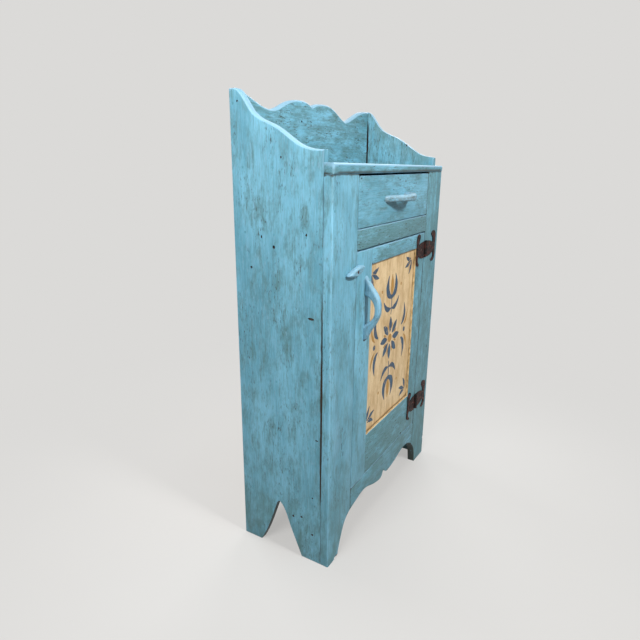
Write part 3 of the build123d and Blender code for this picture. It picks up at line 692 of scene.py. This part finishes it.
def painted_panel():
    """The panel as a fine grid with thickness, bare behind, that knows its strokes."""
    low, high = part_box("door_panel")
    span = high - low
    across, up = (round(length / (GRID_MM * MM)) for length in (span.x, span.z))
    upright = Matrix.Rotation(math.radians(90), 3, "X")
    middle = ((low.x + high.x) / 2, low.y, (low.z + high.z) / 2)
    bm = bmesh.new()
    bmesh.ops.create_grid(bm, x_segments=across, y_segments=up, size=0.5)
    bmesh.ops.scale(bm, verts=bm.verts, vec=(span.x, span.z, 1))
    bmesh.ops.rotate(bm, verts=bm.verts, cent=(0, 0, 0), matrix=upright)
    bmesh.ops.translate(bm, verts=bm.verts, vec=middle)
    back = bmesh.ops.extrude_face_region(bm, geom=list(bm.faces))["geom"]
    moved = [v for v in back if isinstance(v, bmesh.types.BMVert)]
    bmesh.ops.translate(bm, verts=moved, vec=(0, span.y, 0))
    flat = [f for f in back if isinstance(f, bmesh.types.BMFace)]
    unpainted = bmesh.ops.dissolve_faces(bm, faces=flat)["region"]
    for face in unpainted:
        face.material_index = 1
    bmesh.ops.recalc_face_normals(bm, faces=bm.faces)
    mesh = bpy.data.meshes.new("dressed_door_panel")
    bm.to_mesh(mesh)
    bm.free()
    points = np.empty(len(mesh.vertices) * 3)
    mesh.vertices.foreach_get("co", points)
    points = points.reshape(-1, 3)[:, [0, 2]] / MM - np.array(PANEL_CENTRE)
    painted = {"blue_strokes": blue_strokes, "ochre_strokes": ochre_strokes}
    for name, strokes in painted.items():
        field = mesh.attributes.new(name, "FLOAT", "POINT")
        field.data.foreach_set("value", inside_by(points, strokes).astype(np.float32))
    print("panel:", len(mesh.vertices), "points")
    return mesh


# %% [markdown]
# ## Cream paint on the panel
#
# The ground is a warm cream milk paint under old shellac, which has gone brown in
# the corners and along the moulding, where no cloth reached it. The strokes are
# thinner paint, and have rubbed through to the cream in places.

# %% The panel's paint
GROUND, GROUND_DARK = paint_chip("#e4c99b"), paint_chip("#c4a373")
FLECK, CRACK, CORNER_DIRT = paint_chip("#9c7b4e"), paint_chip("#7d5d38"), paint_chip("#6b4824")
STROKE_COLOURS = {"ochre_strokes": ("#a5731d", "#c4943a"), "blue_strokes": ("#0f3350", "#235a78")}


def panel_finish():
    """Cream ground, slate blue and ochre strokes, and brown dirt at the edges."""
    material, tree, shader = new_material("cream milk paint with slate and ochre strokes")
    brush = noise_along(tree, 90, 2.6, detail=5)
    patch = noise_along(tree, 80, 34, detail=5, roughness=0.65, shift=5.1)
    flecks = noise_along(tree, 8, 3.0, detail=4, roughness=0.65, shift=8.8)
    cracks = noise_along(tree, 60, 1.6, detail=3, shift=14.2)
    thick = mixture(tree, patch, (brush, 0.6))
    colour = coat(tree, GROUND, GROUND_DARK, thick, 0.66, 0.96)
    colour = coat(tree, colour, FLECK, flecks, 0.56, 0.72, 0.5)
    colour = coat(tree, colour, CRACK, cracks, 0.58, 0.72, 0.55)

    thin = mixture(tree, flecks, (patch, 0.6))
    step = {"Value": thin, "From Min": 1.04, "From Max": 0.88}
    left_on = add(tree, "MapRange", step, interpolation_type="SMOOTHSTEP").outputs[0]
    for name, (deep, light) in STROKE_COLOURS.items():
        inside = add(tree, "Attribute", attribute_name=name).outputs["Fac"]
        tint = mixture(tree, brush, (inside, 0.008))
        pigment = coat(tree, paint_chip(deep), paint_chip(light), tint, 0.46, 0.72)
        shaky = mixture(tree, -1.5, (inside, 1.0), (flecks, 3.0))
        colour = coat(tree, colour, pigment, shaky, -0.4, 0.8, left_on)

    edge = edge_amount(tree, mixture(tree, 0.5, (patch, 1.0)))
    grimy = mixture(tree, 0.0, (edge, -1.0), (patch, 0.35))
    colour = coat(tree, colour, CORNER_DIRT, grimy, 0.34, 1.25, 0.85)
    tree.links.new(colour, shader.inputs["Base Color"])
    rough = add(tree, "MapRange", {"Value": patch, "To Min": 0.35, "To Max": 0.6}).outputs[0]
    tree.links.new(rough, shader.inputs["Roughness"])
    bump = add(tree, "Bump", {"Height": brush, "Strength": 0.35, "Distance": 0.3 * MM})
    tree.links.new(bump.outputs[0], shader.inputs["Normal"])
    return material


panel_paint = panel_finish()
print(panel_paint.name)

# %% [markdown]
# ## Dressing a board
#
# One function does every board in turn: copy, merge, cut the knocks, round the edges,
# write the facts for the paint, and hand the piece to the body that the board belongs
# to. The knocks come before the rounding, because a Boolean cuts a large flat face
# more cleanly than the narrow ones of a bevel.

# %% Copy a board from the frame
SAME_POINT_MM = 0.001
FLAT_TO_DEGREES = 0.3


def merged_copy(name):
    """A closed mesh of the board, its loose triangles merged and its flat faces joined."""
    bm = bmesh.new()
    bm.from_mesh(nodes[name].data)
    bmesh.ops.remove_doubles(bm, verts=bm.verts, dist=SAME_POINT_MM * MM)
    bmesh.ops.dissolve_limit(
        bm, angle_limit=math.radians(FLAT_TO_DEGREES), verts=bm.verts, edges=bm.edges,
    )
    mesh = bpy.data.meshes.new("dressed_" + name)
    bm.to_mesh(mesh)
    bm.free()
    # the triangles' own normals no longer fit the joined faces
    for stale in ("custom_normal", "sharp_edge", "sharp_face"):
        if stale in mesh.attributes:
            mesh.attributes.remove(mesh.attributes[stale])
    return mesh


# %% Cut the knocks
def with_knocks(piece, board):
    """Cuts a board's knocks out of its piece, if it has any."""
    if all(name != board for name, point, size in KNOCKS):
        return
    cutter = knock_cutter(board)
    bpy.context.scene.collection.objects.link(cutter)
    cut = piece.modifiers.new("knocks", "BOOLEAN")
    cut.operation = "DIFFERENCE"
    cut.solver = "EXACT"
    cut.material_mode = "TRANSFER"
    cut.object = cutter
    bpy.context.view_layer.update()
    solid = piece.evaluated_get(bpy.context.evaluated_depsgraph_get())
    mesh = bpy.data.meshes.new_from_object(solid)
    piece.modifiers.clear()
    piece.data = mesh
    bpy.data.objects.remove(cutter)


# %% Round the edges
SHORTEST_MM = 1.6
LEAST_AREA_MM2 = 5
SHARP_FROM_DEGREES = 38
# the cut faces of a knock come after the board's own, so their material index isn't 0


def can_be_rounded(edge):
    """Only a board's own long sharp edges, not a knock's, a nail hole's or a small facet's."""
    if len(edge.link_faces) != 2 or edge.calc_length() < SHORTEST_MM * MM:
        return False
    for face in edge.link_faces:
        if face.material_index or face.calc_area() < LEAST_AREA_MM2 * MM * MM:
            return False
    return edge.calc_face_angle(0) > math.radians(SHARP_FROM_DEGREES)


def soften(piece, offset_mm):
    """Rounds a board's edges, as sandpaper and a century of use do."""
    bm = bmesh.new()
    bm.from_mesh(piece.data)
    bmesh.ops.bevel(
        bm, geom=[edge for edge in bm.edges if can_be_rounded(edge)], offset=offset_mm * MM,
        offset_type="OFFSET", segments=3, profile=0.5, affect="EDGES", material=-1,
        clamp_overlap=False,
    )
    bm.to_mesh(piece.data)
    bm.free()


# %% Cut a side's faces where its seam changes
def split_at_heights(piece, heights):
    """Cuts a piece's faces at some heights, so that a fact can change between them."""
    bm = bmesh.new()
    bm.from_mesh(piece.data)
    for height in heights:
        everything = [*bm.verts, *bm.edges, *bm.faces]
        bmesh.ops.bisect_plane(bm, geom=everything, plane_co=(0, 0, height), plane_no=(0, 0, 1))
    bm.to_mesh(piece.data)
    bm.free()


# %% Write the facts that the paint reads at each point
SEED_STEP = 5.3


def write_field(mesh, name, kind, domain, values):
    """One attribute of a mesh, as numbers or vectors."""
    field = mesh.attributes.new(name, kind, domain)
    key = "vector" if kind == "FLOAT_VECTOR" else "value"
    field.data.foreach_set(key, np.ascontiguousarray(values, dtype=np.float32).ravel())


def write_point_facts(mesh, board, number):
    """Grain, distances to the board's ends, wear there, and the board's own seed."""
    grain, _, wear_low, wear_high = BOARDS[board]
    count = len(mesh.vertices)
    points = np.empty(count * 3)
    mesh.vertices.foreach_get("co", points)
    points = points.reshape(-1, 3)
    low, high = (np.array(corner) for corner in seen_span(board))
    order = [AXES[grain]] + [axis for axis in (0, 1, 2) if axis != AXES[grain]]
    facts = {
        "grain": points[:, order], "from_low": points - low, "from_high": high - points,
        "wear_low": np.tile(wear_low, (count, 1)).astype(float),
        "wear_high": np.tile(wear_high, (count, 1)),
    }
    if board in SIDES:
        facts["wear_low"][:, AXES["y"]] = np.interp(points[:, AXES["z"]], *zip(*SEAM))
    for name, values in facts.items():
        write_field(mesh, name, "FLOAT_VECTOR", "POINT", values)
    singles = {
        "seed": SEED_STEP * number, "glaze_and_shade": GLAZE_AND_SHADE.get(board, 0),
        "edge_width": EDGE_MM.get(board, USUAL_EDGE_MM) * MM,
    }
    for name, value in singles.items():
        write_field(mesh, name, "FLOAT", "POINT", np.full(count, value))


# %% Write the facts that the paint reads on each face
# shares of a face's normal: along the thickness on a board's broad faces, along any
# axis on a flat face, upwards where wear and a painted highlight are full, and along an
# edge that is sawn and darkened with painted shade, or one overrun with cream
BROAD, ON_AXIS, FULL_WEAR_AND_HIGHLIGHT, FACING_SAWN_AND_SHADED, FACING_CREAM = 0.96, 0.9995, 0.4, 0.45, 0.8
CURVED_WEAR, UPWARD_WEAR_AND_HIGHLIGHT, HANDLED_WEAR = 0.25, 0.75, 0.5


def write_face_facts(mesh, board):
    """How rounded, worn pale with painted highlight where it faces up, sawn and dark with painted
    shade, or overrun with cream each face is, and which ones shade smooth.
    """
    thin = BOARDS[board][1]
    normals = np.empty(len(mesh.polygons) * 3)
    mesh.polygons.foreach_get("normal", normals)
    normals = normals.reshape(-1, 3)
    curved = np.abs(normals).max(axis=1) < ON_AXIS
    upward = np.clip(normals[:, AXES["z"]] / FULL_WEAR_AND_HIGHLIGHT, 0, 1)
    at_edge = np.abs(normals[:, AXES[thin]]) < BROAD
    # edge faces that look upwards are paler: rubbed paint, and a painted highlight of the light
    # from above
    worn = np.where(at_edge, CURVED_WEAR * curved + UPWARD_WEAR_AND_HIGHLIGHT * upward, 0)
    worn = worn * (HANDLED_WEAR if board in HANDLED else 1)
    # sawn faces are marked -1: unpainted, and dark as painted shade
    worn = np.where(normals @ SAWN_AND_SHADED.get(board, (0, 0, 0)) > FACING_SAWN_AND_SHADED, -1, worn)
    overrun = normals @ OVERRUN.get(board, (0, 0, 0)) > FACING_CREAM
    write_field(mesh, "rounded", "FLOAT", "FACE", worn)
    write_field(mesh, "overrun", "FLOAT", "FACE", overrun)
    mesh.polygons.foreach_set("use_smooth", curved)


# %% Dress every board
SHARP_SHADING_DEGREES = 40
FINISHES = {"blue_paint": blue_paint, "bare_pine": inside_pine, "cream_paint": panel_paint}


def dress(board, number):
    """The finished piece that stands for a board."""
    is_panel = board == "door_panel"
    mesh = painted_panel() if is_panel else merged_copy(board)
    piece = bpy.data.objects.new("dressed_" + board, mesh)
    bpy.context.scene.collection.objects.link(piece)
    mesh.materials.append(handled_paint if board in HANDLED else FINISHES[slot_of[board]])
    if is_panel:
        mesh.materials.append(inside_pine)
    with_knocks(piece, board)
    if not is_panel:
        soften(piece, ROUNDING_MM.get(board, USUAL_ROUNDING_MM))
    if board in SIDES:
        split_at_heights(piece, [height for height, wear in SEAM[1:]])
    write_point_facts(piece.data, board, number)
    write_face_facts(piece.data, board)
    piece.data.set_sharp_from_angle(angle=math.radians(SHARP_SHADING_DEGREES))
    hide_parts(board)
    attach(piece, body_of[board])
    return piece


dressed = {board: dress(board, number) for number, board in enumerate(BOARDS)}
print(len(dressed), "boards,", sum(len(p.data.polygons) for p in dressed.values()), "faces")

# %% [markdown]
# ## Hinges, pins and nails
#
# These small iron pieces keep their CAD form, and only need their metal. Assigning
# to the object's own material slot is enough. Most nail heads went under the paint,
# but those behind and the button's screw never did.

# %% Give the iron its finish
IRON = {"hinge_iron": hinge_iron, "nail_steel": painted_nails}
UNPAINTED = ("back_nails", "button_screw")
for name, node in nodes.items():
    if slot_of[name] in IRON:
        node.material_slots[0].material = bare_nails if name in UNPAINTED else IRON[slot_of[name]]
print("iron on", sum(slot in IRON for slot in slot_of.values()), "nodes")

# %% [markdown]
# ## Studio
#
# A pale floor, one lamp high in front that rakes down the boards, one to the left,
# soft ones to the right and behind, and a pale world. The lamps are set so that a
# colour renders about as it is written. The floor turns into the backdrop's own tone
# with distance, so no horizon shows behind the cupboard.

# %% Floor
CARD = paint_chip("#dbdad8")
FLOOR_TONES = paint_chip("#cccac7"), paint_chip("#d2d0cd")
# what it throws back onto the cupboard is darker than what the camera sees of it
BOUNCE = paint_chip("#96928e")
FLOOR_RADIUS = 12.0


def seen_directly(tree):
    """1 for rays from the camera, in gloss or through glass, and 0 for light on the object."""
    path = add(tree, "LightPath").outputs
    total = path["Is Camera Ray"]
    for kind in ("Is Glossy Ray", "Is Transmission Ray"):
        total = add(tree, "Math", {0: total, 1: path[kind]}, operation="MAXIMUM").outputs[0]
    return total


floor_material, tree, shader = new_material("pale studio floor")
grit = add(tree, "TexNoise", {"Scale": 1 / (40 * MM), "Detail": 4.0}).outputs["Fac"]
seen = seen_directly(tree)
tones = {0: seen, 6: BOUNCE, 7: coat(tree, *FLOOR_TONES, grit, 0.3, 0.7)}
tone = add(tree, "Mix", tones, data_type="RGBA").outputs[2]
tree.links.new(tone, shader.inputs["Base Color"])
shader.inputs["Roughness"].default_value = 0.9
place = add(tree, "TexCoord").outputs["Object"]
away = add(tree, "VectorMath", {0: place}, operation="LENGTH").outputs["Value"]
step = {"Value": away, "From Min": 0.3, "From Max": 1.6, "To Min": 0.6, "To Max": 1.0}
share = add(tree, "MapRange", step, interpolation_type="SMOOTHSTEP").outputs[0]
amount = add(tree, "Math", {0: seen, 1: share}, operation="MULTIPLY").outputs[0]
card = add(tree, "Emission", {"Color": CARD, "Strength": 1.0})
lit = add(tree, "MixShader", {0: amount, 1: shader.outputs[0], 2: card.outputs[0]})
tree.links.new(lit.outputs[0], tree.nodes["Material Output"].inputs["Surface"])

bm = bmesh.new()
bmesh.ops.create_circle(bm, cap_ends=True, segments=96, radius=FLOOR_RADIUS)
mesh = bpy.data.meshes.new("studio_floor")
bm.to_mesh(mesh)
bm.free()
studio_floor = bpy.data.objects.new("studio_floor", mesh)
studio_floor.data.materials.append(floor_material)
bpy.context.scene.collection.objects.link(studio_floor)
print("floor of", FLOOR_RADIUS, "m")


# %% Lamps
def lamp(name, place, aim, size, watts):
    """A square soft lamp that faces a point."""
    light = bpy.data.lights.new(name, "AREA")
    light.shape = "SQUARE"
    light.size = size
    light.energy = watts
    holder = bpy.data.objects.new(name, light)
    holder.location = place
    holder.rotation_euler = (Vector(aim) - Vector(place)).to_track_quat("-Z", "Y").to_euler()
    bpy.context.scene.collection.objects.link(holder)


# place and aim in metres, width in metres, power in watts
lamp("front_lamp", (-0.42, -1.75, 2.18), (0, 0, 0.75), 0.4, 46)
lamp("left_lamp", (-1.65, -0.15, 1.95), (0, 0, 0.8), 0.8, 33)
lamp("right_lamp", (2.2, 0.7, 1.8), (0, 0, 0.6), 1.4, 34)
lamp("back_lamp", (0.3, 2.3, 1.9), (0, 0, 0.6), 1.6, 40)

# %% World
SKY, SKY_STRENGTH = paint_chip("#eef2f6"), 0.24

world = bpy.data.worlds.new("studio")
bpy.context.scene.world = world
world.use_nodes = True
tree = world.node_tree
tree.nodes.clear()
fill = add(tree, "Background", {"Color": SKY, "Strength": SKY_STRENGTH})
card = add(tree, "Background", {"Color": CARD, "Strength": 1.0})
sky = add(tree, "MixShader", {0: seen_directly(tree), 1: fill.outputs[0], 2: card.outputs[0]})
add(tree, "OutputWorld", {"Surface": sky.outputs[0]})
bpy.context.scene.view_settings.view_transform = "Standard"
print("four lamps and a pale world")

# %% [markdown]
# ## Camera
#
# The camera stands where the photograph's did: at the left front, a little above
# the top of the cupboard, looking down on it through a wide lens.

# %% Camera at the photograph's place
YAW, PITCH, ROLL = (math.radians(a) for a in (58.86, 16.764, -0.473))
CAMERA_PLACE = (-1.35, -0.6911, 1.0403)
SENSOR_MM, LENS_MM = 36, 29.48

ahead = Vector((
    math.sin(YAW) * math.cos(PITCH), math.cos(YAW) * math.cos(PITCH), -math.sin(PITCH),
))
right = Vector((math.cos(YAW), -math.sin(YAW), 0))
down = ahead.cross(right)
right, down = (
    math.cos(ROLL) * right + math.sin(ROLL) * down, math.cos(ROLL) * down - math.sin(ROLL) * right,
)
turn = Matrix((right, -down, -ahead)).transposed().to_4x4()
camera = bpy.data.objects.new("camera", bpy.data.cameras.new("camera"))
camera.data.sensor_width = SENSOR_MM
camera.data.lens = LENS_MM
camera.data.clip_start = 0.02
camera.matrix_world = Matrix.Translation(CAMERA_PLACE) @ turn
bpy.context.scene.collection.objects.link(camera)
bpy.context.scene.camera = camera
print("lens", LENS_MM, "mm")
